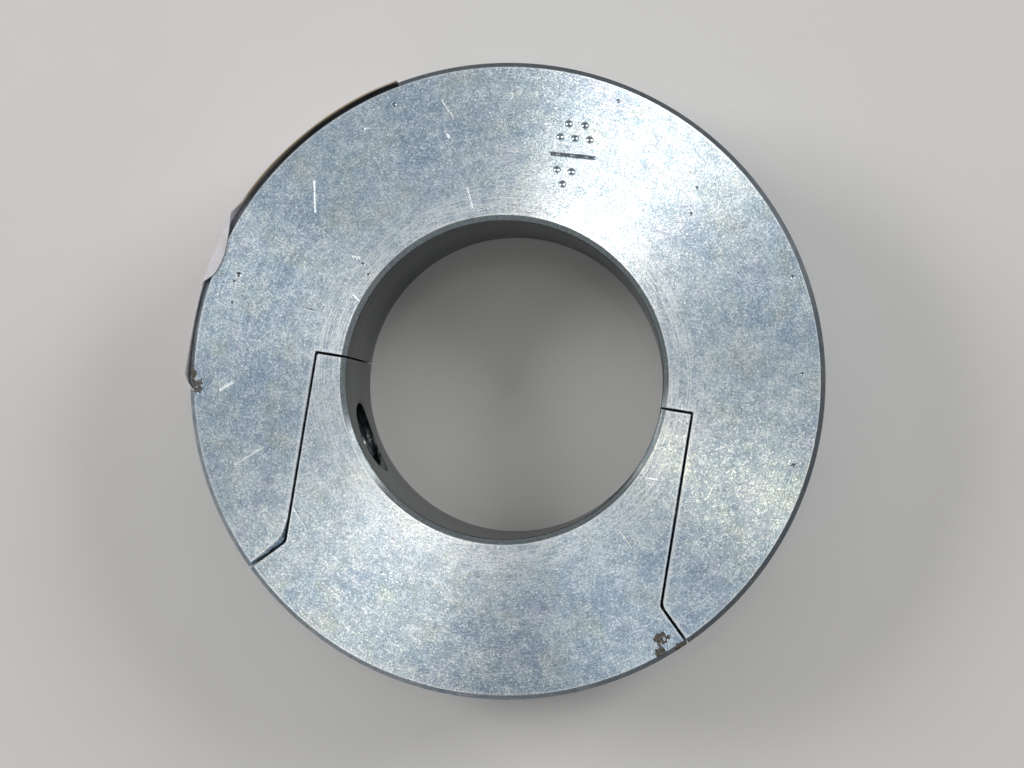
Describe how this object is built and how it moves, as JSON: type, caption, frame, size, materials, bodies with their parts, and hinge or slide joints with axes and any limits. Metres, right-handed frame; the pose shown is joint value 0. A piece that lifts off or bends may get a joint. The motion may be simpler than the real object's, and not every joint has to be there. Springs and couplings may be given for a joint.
{
  "type": "split shaft collar",
  "caption": "Split set collar for a round shaft: a C-shaped ring, a removable insert that slides in between its legs, and socket set screws that lock both to the shaft.",
  "frame": {"origin": "middle of the shaft bore, on its axis, halfway along the ring's width", "axes": "+Z along the bore; +Y away from the insert, which leaves along -Y; the two set screws lie 30 degrees below +X and -X"},
  "size_m": [0.0987, 0.0984, 0.0254],
  "materials": {
    "zinc_plated_steel": "turned steel with bright zinc plating",
    "black_oxide_steel": "black oxide alloy steel",
    "paper": "matt paper label with a blank face"
  },
  "bodies": {
    "collar": {"collar_body": "zinc_plated_steel", "paper_label": "paper"},
    "insert": {"collar_insert": "zinc_plated_steel"},
    "left_screw": {"left_set_screw": "black_oxide_steel"},
    "right_screw": {"right_set_screw": "black_oxide_steel"}
  },
  "joints": [
    {"name": "insert_slide", "type": "slide", "parent": "collar", "child": "insert", "axis": [0, -1, 0], "range_m": [0, 0.045]},
    {"name": "left_screw_feed", "type": "slide", "parent": "collar", "child": "left_screw", "axis": [0.866, 0.5, 0], "range_m": [0, 0.01172]},
    {"name": "right_screw_feed", "type": "slide", "parent": "collar", "child": "right_screw", "axis": [-0.866, 0.5, 0], "range_m": [0, 0.01172]}
  ]
}
